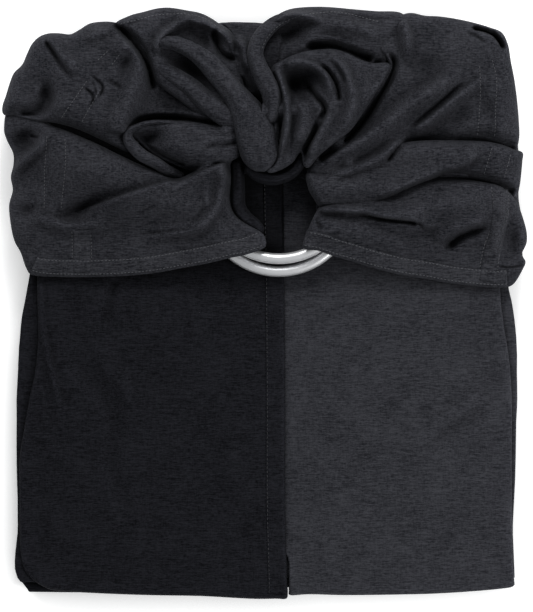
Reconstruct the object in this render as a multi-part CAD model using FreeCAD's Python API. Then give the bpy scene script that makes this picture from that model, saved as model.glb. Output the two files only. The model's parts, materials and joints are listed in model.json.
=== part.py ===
"""Baby wrap sling, folded flat: two jersey leg panels in a zigzag pack, and a gathered yoke with
two aluminium rings turned down over them.

Frame: +Z up, X across the pack, +Y towards the edge where the yoke turns over. The origin is at the
middle of the underside. Millimetres. Soft parts are plain closed solids of the space they fill.
"""
import FreeCAD, Part
import os
from math import cos, radians, sin
from FreeCAD import Vector

# Rings: the common large sling ring, bent from 6 mm aluminium wire.
RING_INNER_D = 76.0
RING_WIRE_D = 6.0
RING_R = RING_INNER_D / 2 + RING_WIRE_D / 2
RING_GAP = 0.4            # between a ring and the cloth it turns in

# Whole folded sling.
HALF_WIDTH = 145.6
HALF_LENGTH = 164.6

# Cloth and pack.
PASS_T = 2.4              # one pass of a panel: cloth doubled along its outer fold
BODY_GAP = 0.3            # between pieces that move apart
LEFT_X = -138.4
RIGHT_X = 139.2
COVER_INSET = 1.6         # the top passes lie a little inside the stacks' sides
JOIN_X = 2.3              # where the two stacks of folds meet
COVER_X = 10.4            # free edge of the left cover, over the right one
BACK_Y = 153.4            # the pack's folded edge under the yoke
LEFT_FRONT_Y = -HALF_LENGTH
RIGHT_FRONT_Y = -161.0
SIDE_R = 3.7
LOWER_TOP = 9.6
UPPER_BOTTOM = LOWER_TOP + BODY_GAP
UPPER_TOP = 17.6
UPPER_SETBACK = 1.0       # the upper stacks' front folds sit behind the lower ones'
LAYER_GAP = 0.1
COVER_Z = UPPER_TOP + LAYER_GAP
COVER_TOP = COVER_Z + PASS_T
HEM_T = 1.0
LEFT_COVER_TOP = COVER_TOP + LAYER_GAP + HEM_T

# Yoke.
YOKE_Z = LEFT_COVER_TOP + LAYER_GAP + BODY_GAP
FLAP_TOP = 37.0
GATHER_TOP = 47.0
LOOP_TOP = 50.0
LOOP_X0 = -17.5
LOOP_X1 = 24.5
LOOP_Y0 = 69.0
LOOP_Y1 = 126.0
FLAP_R = 3.0
GATHER_R = 4.0
STRIP_T = 1.2             # a felled seam or hem above the cloth around it
STRIP_GAP = 0.02
SEAM_W = 10.0
HEM_W = 9.5
HEM_STRIP_W = 5.5         # the flat part of a flap hem, between its rolled edges
THREAD_W = 0.6
TURN_T = 2.7              # the strip of cloth that turns over the back edge
ROLL_DROP = 11.0          # how far the yoke's ends hang past the pack's top

FRONT_RING = dict(bottom=Vector(7.4, 17.1, YOKE_Z + 3.2), tilt=2.0)
REAR_RING = dict(bottom=Vector(7.4, 24.2, YOKE_Z + 7.2), tilt=8.5)

# Outlines seen from above, as points of smooth closed curves.
LEFT_FLAP = [(-3, 29), (-36, 21), (-72, 15.5), (-112, 13.5), (-136, 18), (-141.5, 42), (-141.5, 72),
             (-129, 95), (-92, 86.5), (-56, 71), (-30, 72), (-7, 55)]
RIGHT_FLAP = [(21, 35), (28, 29), (44, 24), (70, 16.5), (98, 11.5), (126, 9), (140, 14), (145.2, 29),
              (143.5, 52), (141, 78), (126, 86), (100, 86), (78, 82), (56, 71), (36, 66), (29, 53)]
LEFT_GATHER = [(-14, 77), (-36, 72), (-56, 71.5), (-92, 87), (-130, 96), (-144, 106), (-140, 124),
               (-122, 147), (-94, 153.5), (-60, 162), (-36, 160), (-23, 150), (-14, 112)]
RIGHT_GATHER = [(22, 68), (54, 72), (77, 85), (110, 87), (137, 88), (139, 112), (133, 146),
                (112, 156), (72, 161), (36, 163.8), (10, 161), (3, 150), (8, 135), (20, 118)]
LEFT_HEM = [(-3, 34), (-36, 26.5), (-72, 20.5), (-112, 18.5), (-131, 21.5)]
RIGHT_HEM = [(28, 35), (40, 30.5), (66, 23), (98, 17), (134, 14.5)]
SEAMS = {"left": (-110.0, 24.0, 85.0), "right": (129.0, 21.0, 79.0)}

PARTS = "parts"


def save(name, *solids):
    shape = solids[0] if len(solids) == 1 else Part.makeCompound(list(solids))
    shape.exportStep(os.path.join(PARTS, name + ".step"))


def slab(x0, x1, y0, y1, z0, z1, r=0.0):
    """A box between two corners, its edges rounded to r."""
    box = Part.makeBox(x1 - x0, y1 - y0, z1 - z0, Vector(x0, y0, z0))
    return box.makeFillet(r, box.Edges) if r else box


def face_of(points):
    """A flat face inside a smooth closed curve through the points."""
    curve = Part.BSplineCurve()
    curve.interpolate(Points=[Vector(x, y, 0) for x, y in points], PeriodicFlag=True)
    return Part.Face(Part.Wire([curve.toShape()]))


def raised(face, z0, z1):
    """The face's outline, pulled up from z0 to z1."""
    solid = face.extrude(Vector(0, 0, z1 - z0))
    solid.translate(Vector(0, 0, z0))
    return solid


def mound(points, top, r):
    """A soft mass over an outline, rounded along its upper rim."""
    solid = raised(face_of(points), YOKE_Z, top)
    rim = [edge for edge in solid.Edges if edge.BoundBox.ZMin > top - 1e-6]
    return solid.makeFillet(r, rim)


def ribbon(path, width, z0, z1):
    """A flat strip of that width whose middle follows a smooth open curve."""
    curve = Part.BSplineCurve()
    curve.interpolate(Points=[Vector(x, y, 0) for x, y in path])
    first, last = curve.FirstParameter, curve.LastParameter
    sides = [[], []]
    steps = 2 * len(path)
    for i in range(steps + 1):
        t = first + (last - first) * i / steps
        along = Vector(*curve.tangent(t)[0]).normalize()
        across = Vector(-along.y, along.x, 0) * (width / 2)
        sides[0].append(curve.value(t) + across)
        sides[1].append(curve.value(t) - across)
    edges = []
    for side in sides:
        line = Part.BSplineCurve()
        line.interpolate(Points=side)
        edges.append(line.toShape())
    ends = [Part.makeLine(sides[0][k], sides[1][k]) for k in (0, -1)]
    face = Part.Face(Part.Wire(Part.__sortEdges__([edges[0], ends[1], edges[1], ends[0]])))
    return raised(face, z0, z1)


def ring(bottom, tilt, extra=0.0):
    """A ring that lies on the wire centre `bottom` and rises by `tilt` degrees towards +Y."""
    angle = radians(tilt)
    centre = bottom + Vector(0, cos(angle), sin(angle)) * RING_R
    normal = Vector(0, -sin(angle), cos(angle))
    return Part.makeTorus(RING_R, RING_WIRE_D / 2 + extra, centre, normal)


def clear_of_rings(solid):
    """The solid, with a channel in which each ring can turn."""
    for place in (FRONT_RING, REAR_RING):
        solid = solid.cut(ring(extra=RING_GAP, **place))
    return solid


def leg_folds():
    """The zigzag stacks of both legs, below and above the fold where the pack opens."""
    legs = {"left": (LEFT_X, JOIN_X, LEFT_FRONT_Y),
            "right": (JOIN_X + BODY_GAP, RIGHT_X, RIGHT_FRONT_Y)}
    for side, (x0, x1, front) in legs.items():
        save(side + "_leg_lower_folds", slab(x0, x1, front, BACK_Y, 0, LOWER_TOP, SIDE_R))
        front += UPPER_SETBACK
        upper = slab(x0, x1, front, BACK_Y, UPPER_BOTTOM, UPPER_TOP, SIDE_R - LAYER_GAP)
        save(side + "_leg_upper_folds", upper)


def covers():
    """The last pass of each leg, the one that shows. The left one laps over the right one."""
    edge_r = PASS_T / 2 - LAYER_GAP
    hem_x = COVER_X - HEM_W
    left = slab(LEFT_X + COVER_INSET, JOIN_X, LEFT_FRONT_Y, BACK_Y, COVER_Z, COVER_TOP, edge_r)
    right = slab(JOIN_X + BODY_GAP, RIGHT_X - COVER_INSET, RIGHT_FRONT_Y, BACK_Y, COVER_Z, COVER_TOP, edge_r)
    hem_z = COVER_TOP + LAYER_GAP
    thread_y = LEFT_FRONT_Y + SIDE_R
    save("left_leg_cover", left)
    save("right_leg_cover", right)
    save("left_cover_hem", slab(hem_x, COVER_X, LEFT_FRONT_Y, BACK_Y, hem_z, LEFT_COVER_TOP))
    save("left_cover_hem_thread",
         slab(hem_x + 1, hem_x + 1 + THREAD_W, thread_y, 0, LEFT_COVER_TOP + STRIP_GAP, LEFT_COVER_TOP + LAYER_GAP))


def flaps():
    """The two hemmed halves of the yoke that lie over the legs and the sides of the rings."""
    save("left_flap", clear_of_rings(mound(LEFT_FLAP, FLAP_TOP, FLAP_R)))
    save("right_flap", clear_of_rings(mound(RIGHT_FLAP, FLAP_TOP, FLAP_R)))


def gathers():
    """The folds that run from the rings to the yoke's turned edge, on each side of the loop."""
    loop_space = slab(LOOP_X0 - LAYER_GAP, LOOP_X1 + LAYER_GAP, LOOP_Y0 - BACK_Y, LOOP_Y1 + LAYER_GAP,
                      YOKE_Z, LOOP_TOP)
    for name, outline, flap in (("left_gather", LEFT_GATHER, LEFT_FLAP),
                                ("right_gather", RIGHT_GATHER, RIGHT_FLAP)):
        flap_space = raised(face_of(flap), YOKE_Z, LOOP_TOP)
        solid = mound(outline, GATHER_TOP, GATHER_R).cut(flap_space).cut(loop_space)
        save(name, clear_of_rings(solid))


def loop():
    """The bunched cloth sewn round the top of both rings, with its bar tack across it."""
    body = slab(LOOP_X0, LOOP_X1, LOOP_Y0, LOOP_Y1, YOKE_Z, LOOP_TOP, 6.0)
    save("ring_loop", clear_of_rings(body))
    save("loop_bar_tack", slab(LOOP_X0 + 2, 2, LOOP_Y1 + 0.2, LOOP_Y1 + 2.8, YOKE_Z + 2, YOKE_Z + 12))


def side_rolls():
    """The yoke's ends, where they hang past the pack's sides."""
    thickness = 2 * BODY_GAP
    top = YOKE_Z - 0.2
    left = slab(-HALF_WIDTH, LEFT_X - thickness, 36, 122, top - ROLL_DROP, top, 2.8)
    right = slab(RIGHT_X + thickness, HALF_WIDTH, 20, 92, top - ROLL_DROP, top, 2.6)
    save("left_side_roll", left)
    save("right_side_roll", right)


def yoke_turn():
    """The strip where the yoke's cloth leaves the pack and turns over its back edge."""
    y0 = BACK_Y + BODY_GAP
    save("yoke_turn", slab(-118, 122, y0, y0 + TURN_T, UPPER_TOP + 0.7, YOKE_Z - STRIP_GAP, 1.2))


def seams_and_hems():
    """Felled seams across the flaps, and the doubled hems on their free edges."""
    strip_z = FLAP_TOP + STRIP_GAP
    thread_z = strip_z + STRIP_T + STRIP_GAP
    for side, (x, y0, y1) in SEAMS.items():
        save(side + "_felled_seam",
             slab(x - SEAM_W / 2, x + SEAM_W / 2, y0, y1, strip_z, strip_z + STRIP_T))
        inset = SEAM_W / 2 - 1
        rows = [slab(x + row - THREAD_W / 2, x + row + THREAD_W / 2, y0 + 1, y1 - 1,
                     thread_z, thread_z + THREAD_W) for row in (-inset, inset)]
        save(side + "_seam_threads", *rows)
    for side, path in (("left", LEFT_HEM), ("right", RIGHT_HEM)):
        save(side + "_flap_hem", ribbon(path, HEM_STRIP_W, strip_z, strip_z + STRIP_T))
        inset = HEM_STRIP_W / 2 - 1
        rows = [ribbon([(x, y + row) for x, y in path], THREAD_W, thread_z, thread_z + THREAD_W)
                for row in (inset, -inset)]
        save(side + "_hem_threads", *rows)


def rings():
    save("front_ring", ring(**FRONT_RING))
    save("rear_ring", ring(**REAR_RING))


os.makedirs(PARTS, exist_ok=True)
leg_folds()
covers()
flaps()
gathers()
loop()
side_rolls()
yoke_turn()
seams_and_hems()
rings()
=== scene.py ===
import json
import math

import bpy
import numpy as np
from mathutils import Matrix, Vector
from mathutils.bvhtree import BVHTree
from mathutils.geometry import delaunay_2d_cdt

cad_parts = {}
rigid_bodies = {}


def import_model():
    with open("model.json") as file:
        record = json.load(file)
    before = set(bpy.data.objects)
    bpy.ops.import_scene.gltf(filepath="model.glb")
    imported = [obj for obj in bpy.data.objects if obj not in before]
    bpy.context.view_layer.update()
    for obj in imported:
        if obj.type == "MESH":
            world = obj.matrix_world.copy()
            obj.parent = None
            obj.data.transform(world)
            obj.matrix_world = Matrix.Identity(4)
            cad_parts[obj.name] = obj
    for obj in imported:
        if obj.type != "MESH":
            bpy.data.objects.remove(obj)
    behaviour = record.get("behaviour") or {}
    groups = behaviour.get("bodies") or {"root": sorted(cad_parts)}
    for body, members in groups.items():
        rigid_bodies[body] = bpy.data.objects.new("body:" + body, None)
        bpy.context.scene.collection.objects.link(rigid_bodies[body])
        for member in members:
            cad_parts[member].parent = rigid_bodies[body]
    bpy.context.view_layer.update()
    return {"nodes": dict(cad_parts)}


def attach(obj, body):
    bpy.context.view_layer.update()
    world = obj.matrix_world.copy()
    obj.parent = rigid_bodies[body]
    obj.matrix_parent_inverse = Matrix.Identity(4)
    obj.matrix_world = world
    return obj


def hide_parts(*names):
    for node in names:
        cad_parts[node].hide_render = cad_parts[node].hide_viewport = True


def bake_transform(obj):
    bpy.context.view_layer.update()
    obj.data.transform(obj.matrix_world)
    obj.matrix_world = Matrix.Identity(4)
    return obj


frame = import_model()

# Everything below is drawn in millimetres, in the frame of the CAD model.
MM = 0.001
STEP = 1.3            # mesh spacing on the yoke
ROW_PITCH = 0.866     # distance between two rows of mesh points, in mesh spacings
LINE_STEP = 1.0       # spacing along outlines and fold lines
CROWDED = 0.32        # mesh points closer than this count as one
ROLL_ROWS = (0.06, 0.22, 0.5, 1.0)   # where a rolled edge has rows of points, in radii
HEM_W = 9.5
SEAM_W = 10.0
RELIEF = 1.7          # how deep the folds are
AT_ONCE = 4000        # points compared with a line in one go


# ---------------------------------------------------------------- curves and distances

def spline(points, step, closed=False):
    """A smooth line through control points of any number of columns, in even steps."""
    p = np.array(points, float)
    n = len(p)
    if closed:
        q = np.vstack([p[-1], p, p[0], p[1]])
        spans = n
    else:
        q = np.vstack([2 * p[0] - p[1], p, 2 * p[-1] - p[-2]])
        spans = n - 1
    t = np.linspace(0, 1, 24, endpoint=False)[:, None]
    runs = []
    for i in range(spans):
        a, b, c, d = q[i], q[i + 1], q[i + 2], q[i + 3]
        runs.append(0.5 * (2 * b + (c - a) * t + (2 * a - 5 * b + 4 * c - d) * t ** 2
                           + (3 * b - a - 3 * c + d) * t ** 3))
    fine = np.vstack(runs + [p[:1] if closed else p[-1:]])
    length = travelled(fine[:, :2])
    count = max(int(round(length[-1] / step)), 4)
    at = np.linspace(0, length[-1], count + 1)
    line = np.stack([np.interp(at, length, fine[:, k]) for k in range(fine.shape[1])], axis=1)
    return line[:-1] if closed else line


def ways(line):
    """Unit vectors along a line."""
    way = np.gradient(line, axis=0)
    return way / np.linalg.norm(way, axis=1)[:, None]


def left_of(line):
    """Unit vectors to the left of a flat line."""
    way = ways(line)
    return np.c_[-way[:, 1], way[:, 0]]


def travelled(line):
    """Distance covered up to each point of a line."""
    return np.r_[0, np.cumsum(np.linalg.norm(np.diff(line, axis=0), axis=1))]


def to_line(xy, line, closed=False):
    """Distance from each point to a line, which side it is on (left +1) and how far along, 0 to 1."""
    a = line[:, :2]
    b = np.roll(a, -1, axis=0) if closed else a[1:]
    a = a if closed else a[:-1]
    d = b - a
    size = np.maximum((d ** 2).sum(1), 1e-9)
    best, side, along = np.full(len(xy), 1e9), np.zeros(len(xy)), np.zeros(len(xy))
    for k in range(0, len(xy), AT_ONCE):
        v = xy[k:k + AT_ONCE, None, :] - a[None]
        t = np.clip((v * d[None]).sum(2) / size, 0, 1)
        gap = v - t[..., None] * d[None]
        dist = np.sqrt((gap ** 2).sum(2))
        i = dist.argmin(1)
        r = np.arange(len(i))
        best[k:k + AT_ONCE] = dist[r, i]
        side[k:k + AT_ONCE] = np.sign(d[i, 0] * v[r, i, 1] - d[i, 1] * v[r, i, 0])
        along[k:k + AT_ONCE] = (i + t[r, i]) / len(a)
    return best, side, along


def inside(xy, line):
    """Whether each point lies inside a closed line."""
    x, y = xy[:, 0], xy[:, 1]
    hit = np.zeros(len(xy), bool)
    a, b = line[:, :2], np.roll(line[:, :2], -1, axis=0)
    for (x0, y0), (x1, y1) in zip(a, b):
        if y0 != y1:
            hit ^= ((y0 > y) != (y1 > y)) & (x < (x1 - x0) * (y - y0) / (y1 - y0) + x0)
    return hit


def waves(xy, sizes, height, seed, stretch=(1, 1)):
    """Soft random unevenness, as a sum of waves of the given lengths."""
    rng = np.random.default_rng(seed)
    total = np.zeros(len(xy))
    for size in sizes:
        for _ in range(5):
            turn, shift = rng.uniform(0, 2 * math.pi, 2)
            way = np.array([math.cos(turn) * stretch[0], math.sin(turn) * stretch[1]])
            total += np.sin(xy @ way * 2 * math.pi / size + shift) * size
    return total * height / (5 * sum(sizes)) * 2


def ease(u):
    u = np.clip(u, 0, 1)
    return 1 - u * u * (3 - 2 * u)


# ---------------------------------------------------------------- folds drawn on a piece

def ridge(path, height, left, right=None, taper=(0.25, 0.25), crisp=0.0):
    """A fold along a line: its height, and how far it falls away to the left and to the right."""
    line = spline(path, LINE_STEP)
    right = left if right is None else right

    def shape(xy):
        dist, side, along = to_line(xy, line)
        width = np.where(side > 0, left, right)
        u = np.clip(dist / width, 0, 1)
        body = ease(u) * (1 - crisp) + (1 - u) ** 1.6 * crisp
        ends = np.ones(len(xy))
        if taper[0]:
            ends *= 1 - ease(along / taper[0])
        if taper[1]:
            ends *= 1 - ease((1 - along) / taper[1])
        return body * ends * height

    shape.line = line
    shape.rows = [s * min(w, 2.4) * k for s, w in ((1, left), (-1, right)) for k in (0.5, 1.0)] + [0.0]
    return shape


def crease(path, depth, width=1.6, taper=(0.3, 0.3)):
    """A narrow valley along a line."""
    return ridge(path, -depth, width, width, taper, crisp=0.8)


def swell(x, y, wide, high, turn, height):
    """A soft rise, or a hollow if height is negative, on an ellipse turned by some degrees."""
    c, s = math.cos(math.radians(turn)), math.sin(math.radians(turn))

    def shape(xy):
        u = ((xy[:, 0] - x) * c + (xy[:, 1] - y) * s) / wide
        v = (-(xy[:, 0] - x) * s + (xy[:, 1] - y) * c) / high
        return height * np.exp(-(u * u + v * v))

    shape.line = None
    return shape


# ---------------------------------------------------------------- meshes

def new_object(name, verts, faces):
    mesh = bpy.data.meshes.new(name)
    mesh.from_pydata([tuple(v) for v in np.array(verts, float) * MM], [], [tuple(f) for f in faces])
    mesh.validate()
    mesh.shade_smooth()
    obj = bpy.data.objects.new(name, mesh)
    bpy.context.scene.collection.objects.link(obj)
    return obj


def closed_grid(name, one, other):
    """A piece closed around its edges, from two grids of points that face each other.

    The first grid is the one its columns crossed with its rows point out of, so that faces look outwards.
    """
    rows, cols = one.shape[:2]
    m = rows * cols
    faces = []
    for i in range(rows - 1):
        for a in range(i * cols, (i + 1) * cols - 1):
            faces.append((a, a + 1, a + cols + 1, a + cols))
            faces.append((m + a, m + a + cols, m + a + cols + 1, m + a + 1))
        a, b = i * cols, (i + 1) * cols
        faces.append((a, b, m + b, m + a))
        a, b = a + cols - 1, b + cols - 1
        faces.append((a, m + a, m + b, b))
    for j in range(cols - 1):
        faces.append((j, m + j, m + j + 1, j + 1))
        a = m - cols + j
        faces.append((a, a + 1, m + a + 1, m + a))
    return new_object(name, np.vstack([one.reshape(-1, 3), other.reshape(-1, 3)]), faces)


def runs(*parts):
    """Outline points of x, y, height and radius, from runs of x, y that share a height and a radius."""
    return [(x, y, z, r) for z, r, *points in parts for x, y in points]


def fold_piece(name, outline, folds=(), dome=0.0, reach=18.0, floor=None, seed=1, unevenness=0.5,
               step=STEP, clear=1.0):
    """A closed piece of doubled cloth with rolled edges.

    The outline's control points are x, y, the height of the middle of the edge, and the edge's
    radius. The top swells by dome within reach of the edge, and folds are added to it.
    """
    rim = spline(outline, LINE_STEP, closed=True)
    area = 0.5 * np.sum(rim[:, 0] * np.roll(rim[:, 1], -1) - np.roll(rim[:, 0], -1) * rim[:, 1])
    if area < 0:
        rim = rim[::-1]
    rim[:, 3] = np.maximum(rim[:, 3], 0.4)
    ahead = np.roll(rim, -1, axis=0)[:, :2] - np.roll(rim, 1, axis=0)[:, :2]
    ahead /= np.linalg.norm(ahead, axis=1)[:, None]
    inward = np.c_[-ahead[:, 1], ahead[:, 0]]
    extra = [rim[:, :2] + inward * rim[:, 3:4] * k for k in ROLL_ROWS]
    for fold in folds:
        if fold.line is not None:
            line = fold.line[:, :2]
            left = left_of(line)
            extra += [line + left * off for off in fold.rows]
    low, high = rim[:, :2].min(0), rim[:, :2].max(0)
    rows = np.arange(low[1], high[1], step * ROW_PITCH)
    grid = np.array([(x + (j % 2) * step / 2, y) for j, y in enumerate(rows)
                     for x in np.arange(low[0], high[0], step)])
    grid = grid[inside(grid, rim)]
    gap, _, _ = to_line(grid, rim, closed=True)
    grid = grid[gap > edge_radius(grid, rim) + step * 0.5]
    points = [grid]
    for row in extra:
        row = row[inside(row, rim)]
        if len(row):
            gap, _, _ = to_line(row, rim, closed=True)
            points.append(row[gap > 0.03])
    points = thin_out(np.vstack(points[::-1]), CROWDED)
    n = len(rim)
    flat = np.vstack([rim[:, :2], points])
    loop = [(i, (i + 1) % n) for i in range(n)]
    made = delaunay_2d_cdt([Vector(p) for p in flat], loop, [], 1, 1e-5, False)
    xy = np.array([tuple(p) for p in made[0]])
    gap, _, _ = to_line(xy, rim, closed=True)
    gap[gap < 1e-3] = 0
    z, r = settle(xy, rim)
    roll = np.sqrt(np.maximum(r ** 2 - (r - np.minimum(gap, r)) ** 2, 0))
    inner = 1 - ease((gap - 0.3) / 3.0)
    lift = roll + dome * (1 - np.exp(-gap / reach * 1.6))
    shape = np.zeros(len(xy))
    for fold in folds:
        shape += fold(xy) * RELIEF
    shape += waves(xy, (9, 17, 31), unevenness, seed)
    top = over_rings(xy, z + lift + shape * inner, clear)
    bottom = z - roll * 0.9
    if floor is not None:
        bottom = np.maximum(bottom, floor(xy) if callable(floor) else floor)
    bottom = np.minimum(bottom, top - 0.5 * (gap > 0))
    edge = gap == 0
    top[edge] = z[edge]
    lower = np.arange(len(xy))
    within = np.nonzero(~edge)[0]
    lower[within] = len(xy) + np.arange(len(within))
    verts = np.vstack([np.c_[xy, top], np.c_[xy[within], bottom[within]]])
    doubled = {}
    for a, b, c in made[2]:
        for face in ((a, b, c), (lower[c], lower[b], lower[a])):
            if len(set(face)) == 3:
                doubled.setdefault(tuple(sorted(face)), []).append(face)
    return new_object(name, verts, [v[0] for v in doubled.values() if len(v) == 1])


# Each ring's middle x, lowest y, height there, wire circle radius and rise per mm towards the back.
RINGS = ((7.4, 17.1, 24.8, 41, 0.035), (7.4, 24.2, 28.8, 41, 0.149))
WIRE = 3.0


def over_rings(xy, top, clear):
    """Lifts a top surface where it would otherwise cut into a ring below it.

    The lift starts softly 2 mm above the wire, and only where the cloth passes over the ring.
    """
    for x, low, z, radius, rise in RINGS:
        gap = np.hypot(xy[:, 0] - x, xy[:, 1] - low - radius) - radius
        wire = z + (xy[:, 1] - low) * rise + WIRE + clear - (np.abs(gap) / 4.5) ** 2 * 3
        need = np.where(np.abs(gap) < 9, wire - top, -9)
        lift = 0.25 * (need + 2) ** 2 * (need < 0) + (need + 1) * (need >= 0)
        top = top + np.where(need > -2, lift, 0) * (top > z + 4)
    return top


def edge_radius(xy, rim):
    """The edge's radius at the outline point nearest to each point."""
    out = np.zeros(len(xy))
    for k in range(0, len(xy), AT_ONCE):
        d = ((xy[k:k + AT_ONCE, None] - rim[None, :, :2]) ** 2).sum(2)
        out[k:k + AT_ONCE] = rim[d.argmin(1), 3]
    return out


def settle(xy, rim):
    """Edge height and edge radius, spread smoothly from the outline over the piece."""
    some = rim[::2]
    z, r = np.zeros(len(xy)), np.zeros(len(xy))
    for k in range(0, len(xy), 3000):
        d = ((xy[k:k + 3000, None] - some[None, :, :2]) ** 2).sum(2) + 0.05
        w = d ** -1.4
        w /= w.sum(1)[:, None]
        z[k:k + 3000] = w @ some[:, 2]
        r[k:k + 3000] = (w ** 1.5 @ some[:, 3]) / (w ** 1.5).sum(1)
    return z, r


def thin_out(points, gap):
    """Drops points that fall in a cell already taken, so that none crowd together."""
    keys = np.round(points / gap).astype(int)
    _, first = np.unique(keys, axis=0, return_index=True)
    return points[np.sort(first)]


def rope_piece(name, path, around=36, strands=3, groove=0.05):
    """A roll of gathered cloth along a path of x, y, z, half width and half height."""
    line = spline(path, 1.2)
    n = len(line)
    way = ways(line[:, :3])
    side = np.cross(way, [0, 0, 1])
    side /= np.linalg.norm(side, axis=1)[:, None]
    up = np.cross(side, way)
    length = travelled(line[:, :3])
    cap = np.minimum(length, length[-1] - length) / np.minimum(line[:, 3], length[-1] / 2)
    cap = np.sqrt(np.clip(1 - (1 - np.clip(cap, 0, 1)) ** 2, 0.0004, 1))
    angle = np.linspace(0, 2 * math.pi, around, endpoint=False)
    phases = np.random.default_rng(3).uniform(0, 6.28, 4)
    verts = []
    for i, s in enumerate(length):
        wobble = 1 + groove * np.sin(strands * angle + phases[0] + 0.02 * s * 6.28) \
            + groove * 0.6 * np.sin((strands * 2 + 1) * angle + phases[1] - 0.02 * s * 3) \
            + 0.03 * np.sin(s / 5 + phases[2])
        verts.append(line[i, :3] + side[i] * (line[i, 3] * cap[i]) * (np.cos(angle) * wobble)[:, None]
                     + up[i] * (line[i, 4] * cap[i]) * (np.sin(angle) * wobble)[:, None])
    faces = [(i + around + k, i + around + (k + 1) % around, i + (k + 1) % around, i + k)
             for i in range(0, (n - 1) * around, around) for k in range(around)]
    faces.append(tuple(range(around)))
    faces.append(tuple((n - 1) * around + k for k in range(around))[::-1])
    return new_object(name, np.vstack(verts), faces)


class Surface:
    """Looks straight down on pieces and says how high their top is."""

    def __init__(self, objects):
        verts, faces = [], []
        for obj in objects:
            start = len(verts)
            verts += [tuple(v.co) for v in obj.data.vertices]
            faces += [tuple(i + start for i in p.vertices) for p in obj.data.polygons]
        self.tree = BVHTree.FromPolygons(verts, faces)

    def height(self, x, y):
        hit = self.tree.ray_cast(Vector((x * MM, y * MM, 0.2)), Vector((0, 0, -1)))[0]
        return None if hit is None else hit.z / MM


def strip_piece(name, path, width, surface, thick=0.8, lift=0.15, across=9, step=1.2):
    """A flat band of cloth laid on a surface along a path."""
    line = spline(path, step)[:, :2]
    left = left_of(line)
    n = len(line)
    u = np.linspace(-0.5, 0.5, across)
    base = np.zeros((n, across, 3))
    last = 25.0
    for i in range(n):
        for j in range(across):
            x, y = line[i] + left[i] * (u[j] * width)
            z = surface.height(x, y)
            last = z = last if z is None else z
            base[i, j] = (x, y, z)
    for _ in range(2):
        z = base[:, :, 2].copy()
        z[1:-1] = (base[:-2, :, 2] + 2 * base[1:-1, :, 2] + base[2:, :, 2]) / 4
        base[:, :, 2] = z
    edge = np.sqrt(np.clip(1 - (np.abs(u) * 2) ** 6, 0, 1))
    top, bottom = base.copy(), base.copy()
    top[:, :, 2] += lift + thick * edge[None, :]
    bottom[:, :, 2] += lift - thick * 0.8
    return closed_grid(name, bottom, top)


def stitch_row(name, paths, surface, pitch=2.0, length=1.25, radius=0.23):
    """Rows of separate stitches that follow the top of the cloth, as one piece."""
    verts, faces = [], []
    for path in paths:
        line = spline(path, pitch)[:, :2]
        for a, b in zip(line[:-1], line[1:]):
            mid, half = (a + b) / 2, (b - a) / np.linalg.norm(b - a) * length / 2
            z0, z1 = surface.height(*(mid - half)), surface.height(*(mid + half))
            if z0 is None or z1 is None or abs(z0 - z1) > length:
                continue
            p0 = np.array([*(mid - half), z0 + 0.04])
            p1 = np.array([*(mid + half), z1 + 0.04])
            start = len(verts)
            axis = (p1 - p0) / np.linalg.norm(p1 - p0)
            side = np.cross(axis, [0, 0, 1])
            side /= np.linalg.norm(side)
            up = np.cross(side, axis)
            for s, r in ((0.0, 0.35), (0.18, 0.9), (0.5, 1.05), (0.82, 0.9), (1.0, 0.35)):
                centre = p0 + (p1 - p0) * s
                for k in range(6):
                    t = k * math.pi / 3
                    verts.append(centre + (side * math.cos(t) + up * math.sin(t) * 0.8) * radius * r)
            for i in range(start, start + 24, 6):
                for k in range(6):
                    p, q = i + k, i + (k + 1) % 6
                    faces.append((p, p + 6, q + 6, q))
            faces.append(tuple(start + k for k in range(6)))
            faces.append(tuple(start + 24 + k for k in range(6))[::-1])
    return new_object(name, verts, faces)


# ---------------------------------------------------------------- yoke

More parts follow.
